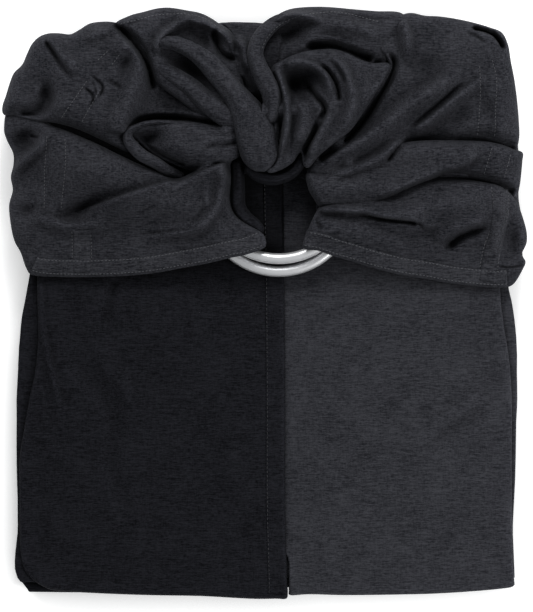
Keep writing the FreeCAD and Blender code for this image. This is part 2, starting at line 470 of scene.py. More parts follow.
def left_flap():
    """The grey flap at the front left, with its hemmed front edge."""
    outline = runs(
        (34, 0.9, (-0.5, 30.5), (-10.5, 26.5)), (33, 0.9, (-20, 24.5)), (30, 0.9, (-33, 21.5)),
        (27.6, 0.9, (-46.5, 19)), (26, 0.9, (-60, 16.5)), (24.8, 0.9, (-73.5, 15)),
        (23.6, 0.9, (-92.5, 14)), (22.6, 0.9, (-114.5, 14), (-130, 15)), (22.6, 1, (-134, 19)),
        (22.8, 1.4, (-137, 27.5)), (23, 2, (-140.5, 34)), (23.5, 3, (-142.5, 42.5)),
        (24, 3.2, (-143.5, 54), (-141.5, 62.5)), (24.5, 3, (-142.5, 70)), (26, 2.6, (-141, 76.5)),
        (28, 2.6, (-141, 83)), (29, 2.6, (-144.5, 90.5)), (30, 2.6, (-146, 97)), (29, 2.4, (-143.5, 107)),
        (30, 3, (-130.5, 106)), (33, 3.4, (-120, 99)), (35, 3.6, (-111, 95.5), (-101.5, 91.5),
        (-92.5, 87.5)), (34.5, 3.6, (-82.5, 82.5)), (34, 3.2, (-74, 78.5)), (33.5, 3, (-61.5, 73)),
        (33, 2.5, (-49, 69)), (34, 2.5, (-34, 76), (-18, 81)), (31, 3, (-19.5, 76.5)),
        (28, 3.6, (-18.5, 68)), (27, 3.8, (-19.5, 59)), (27, 3.6, (-18.5, 52.5)), (28, 3, (-15.5, 47.5)),
        (29.5, 2.2, (-10, 43.5)), (31, 1.6, (-4, 40)), (32.5, 1, (-0.5, 36.5)))
    folds = [
        ridge([(-111.5, 47.5), (-99, 52), (-88.5, 55), (-67, 62.5), (-49, 68.5), (-34, 74), (-21, 79)], 4,
            2, 15, taper=(0.3, 0.05), crisp=0.45),
        ridge([(-23.5, 77), (-23.5, 68), (-24.5, 61), (-26.5, 53.5), (-31, 47), (-38, 41.5), (-53.5, 38),
            (-70, 37)], 3.2, 5, 6, taper=(0.1, 0.5), crisp=0.2),
        ridge([(-133, 54), (-128, 49), (-123.5, 46), (-113, 43), (-100.5, 42.5), (-85.5, 44.5)], 2.2, 5, 7),
        ridge([(-123, 94.5), (-124, 87.5), (-129, 83), (-135, 78), (-141, 71.5)], 3, 3, 6, crisp=0.5),
        swell(-133.5, 90.5, 7, 6, 30, -3.5),
        swell(-132.5, 51, 6, 4, 0, -2),
        swell(-102.5, 52, 12, 4.4, 22, -4),
        swell(-95, 72.5, 24, 11, -18, 3),
        swell(-59, 53, 24, 6, 12, 1.6),
        crease([(-73.5, 48), (-66.5, 51.5), (-59, 54.5)], 0.5, 2.2),
        crease([(-73.5, 37), (-52, 40), (-33, 42)], 0.8, 2.4),
        crease([(-132, 93), (-129, 92), (-125.5, 91.5)], 1, 1.4)]
    return fold_piece("left_flap_cloth", outline, folds, dome=4.5, reach=16, floor=22.2, seed=11)


def left_mass():
    """The gathered cloth of the left shoulder."""
    outline = runs(
        (32, 2.4, (-140, 103.5)), (34, 3.2, (-128.5, 101)), (34.5, 3.6, (-119, 100)),
        (35, 3.8, (-110, 98)), (35.5, 3.8, (-100.5, 94.5), (-92, 90.5)), (35.5, 3.6, (-82.5, 86)),
        (35, 3.4, (-76.5, 83.5)), (33, 2.6, (-73, 86.5)), (31, 2.2, (-69, 89.5), (-59, 89.5)),
        (32, 2.6, (-43, 88)), (33, 3, (-25.5, 89.5)), (32, 3, (-22, 101.5), (-34.5, 113.5), (-52, 121)),
        (31, 3, (-59, 131.5), (-65.5, 143.5), (-74.5, 153.5)), (31, 4, (-84, 156)),
        (30, 5, (-90.5, 156.5)), (30, 6, (-98, 155.5)), (29.5, 6, (-104, 152), (-109, 149.5),
        (-114.5, 150), (-121, 150), (-126.5, 148)), (29, 6, (-130.5, 144)), (29, 6.5, (-133, 139)),
        (28.5, 6.5, (-136, 132.5)), (28, 6.5, (-140.5, 128), (-143, 122), (-145, 115.5)),
        (29, 5.5, (-147, 109)), (30.5, 3.6, (-146, 104.5)))
    folds = [
        crease([(-123, 146), (-118.5, 139.5), (-113, 130.5), (-104.5, 120.5)], 1.6, 2.6, taper=(0.1, 0.4)),
        ridge([(-122, 147.5), (-116.5, 140.5), (-110, 133), (-101.5, 124)], 1.6, 7, 2.4, taper=(0.1, 0.5)),
        ridge([(-124.5, 125), (-122, 117), (-121.5, 111), (-127, 106.5), (-138, 104)], -2.4, 6, 5,
            taper=(0.35, 0.1)),
        ridge([(-143.5, 107), (-137, 109), (-130.5, 112), (-127, 117), (-126, 124)], 1.2, 7, 4),
        ridge([(-88.5, 136.5), (-83, 140.5), (-76.5, 141.5), (-71.5, 139), (-70, 134), (-70.5, 126),
            (-73.5, 117), (-76.5, 108.5), (-79.5, 100.5), (-80.5, 92.5)], 3.6, 9, 11, taper=(0.2, 0.05)),
        swell(-77.5, 131.5, 3.5, 5, -20, -1.6),
        swell(-54.5, 110.5, 16, 13, -30, -5),
        swell(-124, 115, 8, 9, 20, -2.6),
        swell(-64.5, 91.5, 13, 8, -25, -4.6),
        crease([(-73.5, 97), (-68.5, 100.5), (-61, 102.5), (-47.5, 102.5), (-34, 100.5), (-15.5, 97.5)],
            5.5, 3, taper=(0.1, 0.05)),
        crease([(-89, 124), (-84, 121.5), (-78.5, 117.5)], 1, 2.2),
        crease([(-97.5, 124), (-94.5, 118.5), (-94, 113.5)], 1, 1.6),
        ridge([(-100, 149.5), (-96.5, 147.5), (-92, 150), (-85.5, 150.5)], 1.6, 4, 4),
        crease([(-85, 158), (-81, 152.5), (-74, 145), (-68, 136.5), (-64.5, 128.5), (-63, 117)], 6.5, 3.4,
            taper=(0.05, 0.15)),
        swell(-109, 129.5, 10, 8, 40, 2),
        crease([(-102, 120), (-95.5, 114), (-98, 107)], 1.3, 1.5),
        crease([(-97, 126), (-90.5, 119.5), (-93, 112.5)], 1.3, 1.5),
        ridge([(-99, 124), (-93.5, 117), (-95.5, 110)], 0.7, 2, 2),
        swell(-97, 106, 18, 8, -20, 2),
        swell(-114.5, 108.5, 7, 7, 0, 1.5)]
    return fold_piece("left_shoulder_cloth", outline, folds, dome=7.0, reach=14, floor=22.2, seed=12)


def left_leaf():
    """The leaf-shaped fold that leads from the left shoulder into the rings."""
    outline = runs(
        (38, 2.2, (-75, 96)), (38, 2.4, (-70, 98)), (38, 2.6, (-64.5, 100)), (38.5, 2.8, (-57, 100.5),
        (-46.5, 100.5), (-36.5, 99.5), (-25.5, 97.5), (-15.5, 97)), (38, 2.6, (-12, 90.5)),
        (37, 2.6, (-14, 82), (-18, 79), (-22, 77.5)), (35.5, 2.6, (-30, 74.5)), (34, 2.2, (-36, 73)),
        (32.5, 2, (-43, 73.5)), (31.5, 2, (-52, 77), (-60, 81)), (32, 2, (-66.5, 85.5)),
        (33, 2, (-71.5, 90)), (35, 2, (-75, 93)))
    folds = [
        swell(-64.5, 92, 9, 4.5, 10, -3.6),
        swell(-46.5, 84.5, 17, 8, -12, 3.6),
        swell(-28, 90.5, 12, 6, 10, 1),
        crease([(-36.5, 83.5), (-30, 86.5), (-22, 87.5), (-15.5, 88.5)], 1.4, 3, taper=(0.4, 0.05)),
        crease([(-73.5, 92), (-69.5, 88), (-64, 84.5), (-55.5, 80), (-44.5, 75)], 5.6, 2.6,
            taper=(0.12, 0.08))]
    return fold_piece("left_leaf_cloth", outline, folds, dome=3.0, reach=8, seed=13, unevenness=0.3)


def upper_left_lobe():
    """The lobe at the back, left of the middle."""
    outline = runs(
        (33, 2.6, (-83.5, 155.5)), (34, 3, (-78, 152)), (35, 3.2, (-73, 147)), (36, 3.2, (-68.5, 141.5)),
        (36.5, 3.2, (-65.5, 136.5)), (37, 3.2, (-63, 129.5)), (36.5, 3, (-60, 121.5)),
        (36, 3, (-50.5, 114), (-39.5, 106), (-28, 100.5), (-14, 99), (-11, 112.5)), (34, 3, (-14, 129.5)),
        (32, 3, (-16, 140.5)), (30, 3, (-16.5, 147.5)), (28.5, 4, (-21.5, 153)), (27.5, 5, (-26.5, 156)),
        (27, 5.5, (-31, 159), (-36.5, 161.5), (-44, 163), (-53.5, 164.5), (-61, 164)),
        (28, 5, (-68.5, 162)), (30, 4, (-75.5, 160)))
    folds = [
        ridge([(-20.5, 147), (-25.5, 150), (-29.5, 152.5), (-34.5, 155), (-39.5, 156), (-45.5, 158),
            (-52, 159.5)], 3, 3, 6, taper=(0.2, 0.4), crisp=0.6),
        ridge([(-42, 157.5), (-46.5, 155.5), (-51, 153), (-56, 149), (-59.5, 144), (-61, 138.5)], 3, 4,
            4.5, taper=(0.15, 0.1), crisp=0.4),
        swell(-42.5, 149.5, 13, 6, -20, -3.2),
        swell(-34, 146, 6, 5, -40, -2.5),
        swell(-42, 129, 15, 5, -36, -7),
        crease([(-29.5, 152.5), (-27.5, 146), (-25.5, 139.5), (-21, 136), (-13.5, 134.5)], 4.5, 3.4,
            taper=(0.1, 0.2)),
        ridge([(-25, 153.5), (-21.5, 147.5), (-16.5, 140.5), (-11, 131.5)], 2.2, 4, 4),
        crease([(-80, 153), (-74.5, 155), (-67, 157)], 0.8, 2.4),
        swell(-68.5, 148.5, 8, 10, -40, 1.6)]
    return fold_piece("upper_left_lobe_cloth", outline, folds, dome=6.0, reach=14, floor=25, seed=14)


def centre_panel():
    """The cloth in the middle of the back, between the two lobes."""
    outline = runs(
        (25, 2.4, (-27.5, 155)), (24.6, 2.4, (-21, 156.5), (-11.5, 156.5), (-2, 156)), (26, 3, (5.5, 154)),
        (30, 3, (10.5, 143.5)), (32, 3, (10.5, 126.5)), (33, 3, (3.5, 114), (-8.5, 116)),
        (32, 3, (-18.5, 124), (-26.5, 135)), (27, 2.6, (-29.5, 146)))
    folds = [
        crease([(-24.5, 154.5), (-21.5, 151), (-17.5, 146)], 2.4, 2.2, taper=(0.1, 0.4)),
        crease([(-27, 152), (-25.5, 141.5), (-20, 136), (-13, 134)], 3.5, 3.5),
        ridge([(-17.5, 148.5), (-12, 141.5), (-10.5, 134), (-6.5, 125)], 2.6, 5, 4),
        crease([(-14, 126), (-11, 120.5), (-7, 115.5)], 2.4, 2.4),
        ridge([(-8.5, 129.5), (-4.5, 121.5), (0.5, 116)], 2, 3, 4)]
    return fold_piece("centre_panel_cloth", outline, folds, dome=5.0, reach=14, floor=22.4, seed=15)


def knot_right():
    """The cloth that passes over the rear ring, right of the middle."""
    outline = runs(
        (39, 3, (3.5, 130.5)), (39.5, 3, (8.5, 134)), (40, 3, (16, 137.5), (26, 140), (37.5, 140.5)),
        (39.5, 3, (45, 138.5)), (39, 3, (52.5, 135)), (38.5, 2.8, (59.5, 133)), (38, 2.6, (68, 133),
        (69, 129.5)), (38.5, 2.8, (66, 123.5)), (41, 3.2, (59, 112.5)), (43, 3.4, (52.5, 102.5)),
        (44, 3.4, (47, 95)), (43.5, 3.2, (38, 88)), (41, 3, (29.5, 81)), (39, 2.6, (24.5, 75), (21, 76)),
        (38.5, 2.8, (19.5, 83)), (38.5, 3, (15, 77.5), (8.5, 73.5), (1.5, 72)), (37, 3, (-2.5, 79)),
        (37.5, 3, (-2.5, 96)), (38, 3, (-2, 108.5), (0.5, 119.5)))
    folds = [
        ridge([(5.5, 129.5), (9, 123), (11.5, 112.5), (12, 101.5), (10.5, 90.5), (5.5, 78)], 3.4, 3.4, 3.4,
            taper=(0.15, 0.2)),
        swell(18, 121.5, 8, 6, -40, -7.8),
        swell(25, 125, 9, 5, -35, -3),
        crease([(2.5, 129.5), (6, 120.5), (8, 111), (8, 96), (6, 82.5), (1.5, 73.5)], 4.5, 2.2,
            taper=(0.1, 0.1)),
        swell(21, 109.5, 8, 14, 20, -2.4),
        swell(13.5, 124, 3.5, 8, 10, -3),
        ridge([(10, 129.5), (17, 133), (26, 131), (32.5, 126), (35.5, 118.5), (34, 111.5)], 3.2, 3.6, 4.2,
            taper=(0.1, 0.25)),
        crease([(29.5, 132), (35, 127.5), (39.5, 120), (41, 111)], 4.4, 1.8, taper=(0.2, 0.1)),
        crease([(21, 124), (27, 115.5), (33, 107), (30, 99.5), (26, 91.5), (22.5, 85), (20.5, 76.5)], 4.6,
            2.6, taper=(0.15, 0.05)),
        ridge([(17, 115), (21, 104.5), (20, 95), (15, 85)], 3.4, 8, 6),
        ridge([(33, 137.5), (41.5, 131.5), (46, 123), (48.5, 112), (46, 102), (39.5, 92.5)], 3, 5, 6),
        ridge([(35.5, 106), (31.5, 97), (27.5, 89.5), (24.5, 80.5)], 2.4, 6, 2.2, taper=(0.15, 0.1)),
        swell(59.5, 125, 8, 6, 50, -1.6),
        crease([(35, 135), (41.5, 127), (45.5, 117)], 1.4, 2.4)]
    return fold_piece("knot_right_cloth", outline, folds, dome=5.0, reach=12, floor=28, seed=16,
                      unevenness=0.35, clear=2.0)


def upper_right_lobe():
    """The lobe at the back, right of the middle."""
    outline = runs(
        (31, 3, (-2, 150.5)), (29, 4, (1, 156)), (28, 5, (6, 160)), (27.5, 5.5, (11.5, 163), (18.5, 164.5),
        (30, 165), (39.5, 164.5)), (27.5, 5, (50, 163.5)), (28, 4.5, (61.5, 162.5)),
        (29, 4, (75.5, 161.5)), (31, 3.5, (80.5, 154)), (32, 3, (75, 143.5)), (30, 3, (68.5, 134)),
        (29, 3, (52.5, 129.5), (36, 131.5), (19.5, 129.5)), (31, 3, (7, 126)), (32, 3, (0.5, 131.5)),
        (33, 3, (-4, 141.5)))
    folds = [
        ridge([(-4, 144), (-1.5, 150.5), (5.5, 156), (13, 159), (21, 159), (27.5, 157.5), (35, 153.5)],
            4.2, 5, 3.4, taper=(0.05, 0.3), crisp=0.4),
        swell(12, 150, 10, 7, 15, -5.5),
        swell(0.5, 136.5, 5, 8, -20, -7.5),
        crease([(24.5, 148.5), (33, 149), (42.5, 147), (52.5, 145)], 1.1, 3.6),
        crease([(21.5, 141), (29.5, 142.5), (37, 143), (45.5, 140.5), (53.5, 137), (60.5, 134)], 5.5, 4,
            taper=(0.15, 0.1)),
        ridge([(30.5, 155), (44.5, 154), (55.5, 151), (65, 147.5)], 1.6, 6, 5),
        crease([(44.5, 160), (61, 158), (74, 158.5)], 0.8, 2.2)]
    return fold_piece("upper_right_lobe_cloth", outline, folds, dome=6.0, reach=12, floor=25, seed=17)


def right_mass():
    """The gathered cloth of the right shoulder."""
    outline = runs(
        (31, 3.4, (71.5, 155)), (29, 4, (74.5, 159.5)), (28.5, 4.5, (81, 161.5)), (28, 4.5, (89, 160),
        (97.5, 159.5), (107.5, 158), (116.5, 156), (125, 153.5), (132, 150.5), (135.5, 143.5)),
        (28, 5, (137, 134.5)), (28, 5.5, (139, 124), (140.5, 112.5)), (28, 5, (141.5, 100.5)),
        (28, 4.5, (141.5, 90.5)), (27.5, 3.5, (138.5, 81.5)), (28, 3, (131, 75)), (29, 3, (114, 69),
        (92, 62.5)), (30, 3, (69.5, 59), (47, 59), (31.5, 62.5)), (31.5, 3, (24.5, 69)), (33, 3, (23, 73)),
        (34.5, 3, (24.5, 76)), (34, 3, (26, 85)), (32, 3, (37, 98)), (31, 3, (47, 107), (56, 117),
        (63, 125)), (32, 2.6, (68.5, 131)), (35, 2.4, (67, 136.5)), (34.5, 2.4, (63, 140.5)),
        (33, 3, (66, 148.5)))
    folds = [
        ridge([(26, 76), (36, 81), (50, 88), (64, 97.5), (79.5, 109.5), (97.5, 121.5), (115, 133.5)], 3.8,
            7, 9, taper=(0.2, 0.3)),
        crease([(78, 95), (86, 101), (95, 109), (106.5, 119), (114, 125)], 1.1, 2.4, taper=(0.3, 0.3)),
        ridge([(79.5, 93.5), (88.5, 99.5), (98, 107), (109.5, 116.5), (123, 127)], 2.4, 2.6, 6,
            taper=(0.15, 0.3)),
        swell(104, 101.5, 15, 7, 32, -3.2),
        ridge([(29.5, 68), (44.5, 72), (58.5, 77.5), (71.5, 85.5), (80.5, 94.5)], 3, 5, 6),
        crease([(67, 77), (71, 83), (76, 88.5)], 2.4, 3),
        ridge([(75, 157.5), (78, 149.5), (79, 140.5), (77.5, 131.5)], 3, 5, 6, taper=(0.1, 0.4)),
        swell(89, 131.5, 9, 8, 0, -1.8),
        crease([(66, 139.5), (71, 134), (70, 126.5), (64, 115.5), (57, 104), (50, 95), (40.5, 86.5),
            (28.5, 78.5)], 5, 3.2, taper=(0.1, 0.05)),
        ridge([(74, 83.5), (81.5, 87), (97.5, 88), (121.5, 87.5), (132.5, 85.5), (142, 81.5)], -4, 12, 9,
            taper=(0.1, 0.02), crisp=0.3),
        crease([(114.5, 153), (121.5, 152), (127, 149.5), (131, 145), (133, 140.5)], 8.5, 2.2,
            taper=(0.15, 0.15)),
        swell(97.5, 140.5, 16, 8, -10, 1.8),
        swell(131, 97, 5, 12, 0, 1.6),
        swell(122, 110.5, 5, 9, 30, -1.6),
        crease([(111, 150.5), (116.5, 148.5), (123, 144)], 0.9, 1.6),
        ridge([(64.5, 139.5), (68, 135), (70.5, 130.5), (67, 121.5), (60.5, 110.5)], 1.8, 3.5, 3.5)]
    return fold_piece("right_shoulder_cloth", outline, folds, dome=6.0, reach=16, floor=22.2, seed=18)


def right_band():
    """The band pulled from the rings to the right side."""
    outline = runs(
        (35.5, 2.4, (23, 72)), (36, 2.2, (33, 72.5), (44.5, 74), (56, 77), (66, 82.5)),
        (36, 2.4, (71.5, 86.5)), (36.5, 2.8, (76, 88.5)), (36.5, 3, (82.5, 89.5), (90.5, 90)),
        (36, 3, (105.5, 90)), (35, 3, (121.5, 89.5)), (33, 3, (131, 88)), (30.5, 3, (138, 85.5)),
        (28.5, 3, (143.5, 83.5)), (27, 3, (143.5, 79)), (26, 3.2, (143, 72.5)), (25.5, 3.2, (142, 64.5)),
        (25.5, 2.6, (140, 58)), (27, 2.6, (135.5, 59)), (29, 2.6, (129.5, 62.5)), (30, 2.6, (119.5, 63.5)),
        (31, 2.6, (105.5, 63.5)), (31.5, 2.6, (92, 62.5), (79.5, 58.5), (70.5, 54)), (32, 2.8, (61, 51)),
        (32.5, 3, (52, 51)), (33, 3, (41.5, 51.5), (31.5, 52)), (33.5, 3, (26.5, 58)),
        (34.5, 3, (23.5, 64)))
    folds = [
        ridge([(56, 56.5), (69.5, 61.5), (81.5, 66.5), (90.5, 70.5), (100, 74), (109, 76.5), (115, 80.5),
            (121, 85)], 4, 12, 3.4, taper=(0.25, 0.15), crisp=0.35),
        swell(44.5, 62.5, 18, 9, 5, 3),
        ridge([(92, 67), (110, 66.5), (128, 63.5), (138, 58.5)], -3.4, 9, 9, taper=(0.15, 0.02), crisp=0.3),
        swell(97.5, 83.5, 20, 5, 3, 1.8),
        swell(129, 75, 9, 9, 0, 1.2),
        crease([(36, 67), (44.5, 69), (54, 70.5)], 0.8, 2.4),
        crease([(66.5, 77.5), (70, 83), (75, 88)], 2, 3.2, taper=(0.3, 0.1))]
    return fold_piece("right_band_cloth", outline, folds, dome=2.6, reach=10, floor=22.2, seed=19,
                      unevenness=0.4)


def right_flap():
    """The grey flap at the front right, with its hemmed front edge."""
    outline = runs(
        (34, 0.9, (21, 30), (29.5, 28.5)), (32.5, 0.9, (38, 25.5)), (30, 0.9, (47, 23)),
        (28, 0.9, (55, 20.5)), (26.4, 0.9, (64, 18)), (24.8, 0.9, (76.5, 15)), (23.6, 0.9, (89.5, 13)),
        (22.7, 0.9, (103, 10.5)), (22.6, 0.9, (116, 9), (128, 8), (136, 8.5)), (22.8, 1, (140, 11.5)),
        (23.2, 1.6, (144, 18.5)), (23.5, 2, (145.5, 22.5)), (24, 2.4, (143.5, 27)), (24, 2.8, (146, 33)),
        (24, 3, (146, 39.5)), (24.5, 3.2, (144, 47)), (26, 3, (141.5, 53.5)), (29, 2.8, (138, 59)),
        (31.5, 2.8, (133.5, 63)), (33, 2.8, (128, 65.5)), (34, 2.8, (120, 67)), (34.5, 2.8, (110, 68.5)),
        (34.5, 2.6, (100, 69)), (34, 2.6, (92, 69)), (33, 2.4, (81.5, 67)), (31.5, 2.4, (69.5, 63.5)),
        (30, 2.4, (55.5, 61.5), (41.5, 58)), (32, 2.4, (31.5, 54.5)), (34, 2.6, (27, 48)),
        (34, 2.4, (24.5, 42.5)), (34, 1.6, (22, 36.5)))
    folds = [
        ridge([(26, 51.5), (41.5, 51), (52, 50), (67, 47.5), (75, 46.5), (81.5, 46), (86, 43), (93, 42.5),
            (100.5, 42)], 4, 14, 2, taper=(0.02, 0.3), crisp=0.3),
        swell(97.5, 54, 24, 10, 5, 3.4),
        crease([(49, 49.5), (54, 49), (64, 46.5), (77.5, 45), (85, 43.5), (88.5, 40.5)], 3.4, 1.8,
            taper=(0.15, 0.1)),
        crease([(99.5, 29), (104, 33.5), (109.5, 37.5), (116.5, 40), (126.5, 42.5)], 3.2, 4.6,
            taper=(0.2, 0.35)),
        ridge([(93, 30.5), (97.5, 35.5), (104, 40), (114, 43.5), (125.5, 47.5)], 2, 7, 3.4),
        crease([(29.5, 51), (28.5, 44.5), (32.5, 40)], 1.6, 3),
        swell(137, 35.5, 4.5, 9, 0, -3),
        ridge([(129, 59), (131.5, 49), (129, 37), (125.5, 24.5)], 1.4, 5, 5),
        swell(66.5, 34.5, 28, 6, -12, 1.4),
        crease([(128.5, 20), (136.5, 19.5), (145.5, 20.5)], 0.8, 1.2),
        swell(39, 41.5, 14, 7, -5, 2)]
    return fold_piece("right_flap_cloth", outline, folds, dome=4.0, reach=16, floor=22.2, seed=20)


ROPES = {
    "left_leaf_lip": [
        (-43, 97.5, 37.5, 0.8, 1), (-50, 99.5, 40.2, 0.9, 1.2), (-57, 100, 41, 1.1, 1.5),
        (-65.5, 99.5, 41.6, 1.3, 1.8), (-72.5, 97, 41.8, 1.8, 2.2), (-76, 94.5, 41.6, 2.4, 2.6),
        (-76.5, 90.5, 41, 2.9, 2.8), (-73.5, 86, 40.2, 3.3, 3), (-68.5, 81.5, 39, 3.5, 3),
        (-61, 77.5, 37, 3.4, 2.8), (-54, 73, 34.2, 3, 2.4), (-45.5, 69, 30, 2.4, 2)],
    "rope_upper": [
        (-58.5, 135, 38, 1.6, 1.6), (-60.5, 139.5, 40, 2.4, 2.6), (-58.5, 143.5, 41.5, 3, 3.4),
        (-51.5, 144, 42, 3.8, 4), (-43, 140.5, 42, 4.6, 4.8), (-34.5, 134.5, 42, 5.4, 5.6),
        (-26, 126, 42, 6, 6.4), (-18, 116.5, 42, 7, 7.2), (-11.5, 106, 41.5, 9.2, 8.2),
        (-6.5, 95, 41, 11.5, 8.8), (-3.5, 85, 40.5, 11, 8.6), (-1.5, 76.5, 40, 8.5, 7.4),
        (-0.5, 72.5, 40, 6, 6)],
    "rope_lower": [
        (-60.5, 133.5, 38, 2.6, 3), (-56.5, 129, 38.5, 4.4, 4.6), (-49.5, 124.5, 39, 5.2, 5.4),
        (-41.5, 119, 39.4, 5.6, 6), (-34, 112, 39.6, 6, 6.4), (-26, 106, 39.6, 6, 6.4),
        (-17.5, 100, 39, 6, 6.4), (-11, 93.5, 38, 6, 6)],
    "rope_centre": [
        (13.5, 159, 33, 3, 3), (6.5, 156, 34.5, 3.6, 3.6), (0.5, 151, 37, 4.2, 4.6),
        (-4, 145, 39.5, 4.6, 5), (-6, 138, 41, 4.6, 5.4), (-4, 130.5, 42, 4.8, 5.6),
        (-0.5, 123.5, 42.5, 5.2, 5.8), (3, 116, 43, 5.4, 6), (4, 107, 42.5, 5, 5.8),
        (2.5, 99, 41.5, 4, 5.4)],
    "inner_black_fold": [
        (-16.5, 81, 31, 3, 4), (-16, 72.5, 28, 4.2, 5), (-16, 62.5, 26.5, 4.6, 5.2),
        (-15.5, 53.5, 26.5, 4.4, 5), (-11.5, 47.5, 27, 3.8, 4.6), (-5.5, 43, 28, 3, 4),
        (-1, 39, 29, 2, 3)],
    "knot_under_roll": [
        (-11, 76, 33, 2.4, 3), (-5.5, 71.5, 34, 3.4, 3.6), (2.5, 69, 34.4, 3.6, 4),
        (10.5, 70, 34.4, 3.6, 4), (16.5, 74, 34.4, 3.6, 4), (21, 81, 34.4, 3.2, 4),
        (22.5, 87, 34, 2.6, 3.4)],
}


def yoke_cloth():
    makers = (left_flap, left_mass, left_leaf, upper_left_lobe, centre_panel, knot_right,
              upper_right_lobe, right_mass, right_band, right_flap)
    made = {obj.name: obj for obj in (make() for make in makers)}
    for name, path in ROPES.items():
        made[name] = rope_piece(name, path)
    return made


# ---------------------------------------------------------------- side drapes and under layer

SIDE_DRAPES = {
    "left_side_drape": [
        (-135, 33, 20, 1.4, 3.5), (-137.5, 39, 18.5, 2.4, 6.2), (-138.5, 47, 18, 2.8, 7.2),
        (-138.5, 54.5, 18, 3, 7.4), (-138, 62.5, 18, 2.8, 7.2), (-138, 70, 18, 2.8, 7.2),
        (-137.5, 76.5, 18.5, 2.8, 7.2), (-138, 83.5, 19, 3, 7.2), (-140, 90.5, 19.5, 3.2, 7.2),
        (-140.5, 97.5, 20, 3.2, 7.2), (-141.5, 104.5, 19.5, 3.2, 7.4), (-141.5, 110.5, 19, 3.2, 7.4),
        (-140.5, 116, 18.5, 3.2, 7.2), (-138.5, 121.5, 18.5, 3, 6.8), (-136.5, 126.5, 19.5, 2.4, 5.4),
        (-133.5, 131.5, 21, 1.4, 3)],
    "right_side_drape": [
        (140.5, 16.5, 20, 1.4, 3.4), (141.5, 22.5, 18.5, 2.4, 6), (141, 29, 18, 2.8, 7),
        (142.5, 35.5, 18, 3, 7.2), (142, 42.5, 18, 3, 7.2), (140.5, 50, 18, 2.8, 7.2),
        (139, 58, 18, 2.8, 7.2), (139, 66, 18, 2.8, 7.2), (140, 75, 18.5, 2.8, 7), (139, 83.5, 19, 2.8, 7),
        (138.5, 92.5, 19, 2.8, 7), (138.5, 101.5, 19, 2.8, 7), (137.5, 110.5, 19, 2.8, 7),
        (136.5, 119.5, 19, 2.6, 6.4), (135, 128.5, 20, 2.2, 5), (132.5, 136, 21, 1.4, 3)],
}


def yoke_under_layer():
    """The flat layer that the rest of the yoke lies on."""
    outline = runs(
        (22.3, 0.5, (-6.5, 31), (-33, 24.5), (-73.5, 18.5), (-124.5, 19), (-133.5, 34.5), (-137, 62.5),
        (-139, 101.5), (-136, 121.5), (-120, 141.5), (-95, 148.5), (-64.5, 154), (-20, 153.5), (19.5, 154),
        (75, 153.5), (114, 148.5), (131, 135), (134, 85), (135.5, 57), (138.5, 34.5), (132, 14.5),
        (114, 13), (75, 19.5), (41.5, 29), (27, 34.5), (28.5, 53.5), (23.5, 67), (12.5, 71.5),
        (-5.5, 73.5), (-16.5, 68), (-16.5, 57), (-15, 44.5), (-10, 35.5)))
    return fold_piece("yoke_under_layer", outline, [], floor=21.75, seed=31, unevenness=0.2, step=3.0)


# ---------------------------------------------------------------- legs

def arc_fold(levels, tail, turn, rows=10):
    """Section of a sheet folded once: out along the first level, round the turn and back along the second.

    levels are two heights, tail the y of both ends and turn the y of the fold's outer middle line.
    """
    low, high = levels
    r = (high - low) / 2
    sign = 1 if turn > tail[0] else -1
    centre = turn - sign * abs(r)
    first = np.arange(tail[0] + sign * 1.2, centre - sign * 2, sign * 5.0)
    last = np.arange(centre - sign * 3, tail[1] + sign * 1.2, -sign * 5.0)
    start = [tail[0] + sign * d for d in (0, 0.12, 0.35, 0.7)]
    stop = [tail[1] + sign * d for d in (0.7, 0.35, 0.12, 0)]
    turning = np.linspace(-math.pi / 2, math.pi / 2, rows)
    path = [(y, low) for y in start] + [(y, low) for y in first]
    path += [(centre + sign * abs(r) * math.cos(a), low + r + r * math.sin(a)) for a in turning]
    path += [(y, high) for y in last] + [(y, high) for y in stop]
    return np.array(path)


def folded_sheet(name, path, left, right, thick, seed, uneven=0.7, columns=34):
    """A doubled layer of jersey that follows a section path of y and z, between two side lines of x at y."""
    way = ways(path)
    normal = np.c_[-way[:, 1], way[:, 0]]
    length = travelled(path)
    near_end = np.minimum(length, length[-1] - length)
    half = thick / 2
    end_shape = np.sqrt(np.clip(1 - (1 - np.clip(near_end / half, 0, 1)) ** 2, 0.0025, 1))
    edge_at = np.array([0, 0.1, 0.3, 0.62, 1.05]) * half / 1.05
    x_left = np.interp(path[:, 0], *np.array(left, float).T)
    x_right = np.interp(path[:, 0], *np.array(right, float).T)
    turn = np.random.default_rng(seed).uniform(0, 6.28, 6)

    def soft(v, k):
        return (np.sin(v / 23 + turn[k]) + 0.6 * np.sin(v / 11 + turn[k + 1])) / 1.6

    x_left = x_left + uneven * 0.6 * (soft(length, 0) + 1)
    x_right = x_right - uneven * 0.6 * (soft(length, 2) + 1)
    inner = np.linspace(0, 1, columns)
    xs = np.array([np.r_[a + edge_at[:-1], a + edge_at[-1] + inner * (b - a - 2 * edge_at[-1]),
                         b - edge_at[:-1][::-1]] for a, b in zip(x_left, x_right)])
    gap = np.minimum(xs - x_left[:, None], x_right[:, None] - xs)
    side_shape = np.sqrt(np.clip(1 - (1 - np.clip(gap / half, 0, 1)) ** 2, 0.0025, 1))
    t = half * np.minimum(side_shape, end_shape[:, None])
    ripple = 0.12 * np.sin(xs / 19 + length[:, None] / 27 + turn[0])
    mid_y = path[:, 0][:, None] + uneven * 0.5 * (soft(xs, 4) - 1)
    mid_z = path[:, 1][:, None] + ripple * np.clip(near_end / 20, 0, 1)[:, None]
    top, bottom = [np.stack([xs, mid_y + normal[:, :1] * side * t, mid_z + normal[:, 1:] * side * t], axis=2)
                   for side in (1, -1)]
    return closed_grid(name, top, bottom)


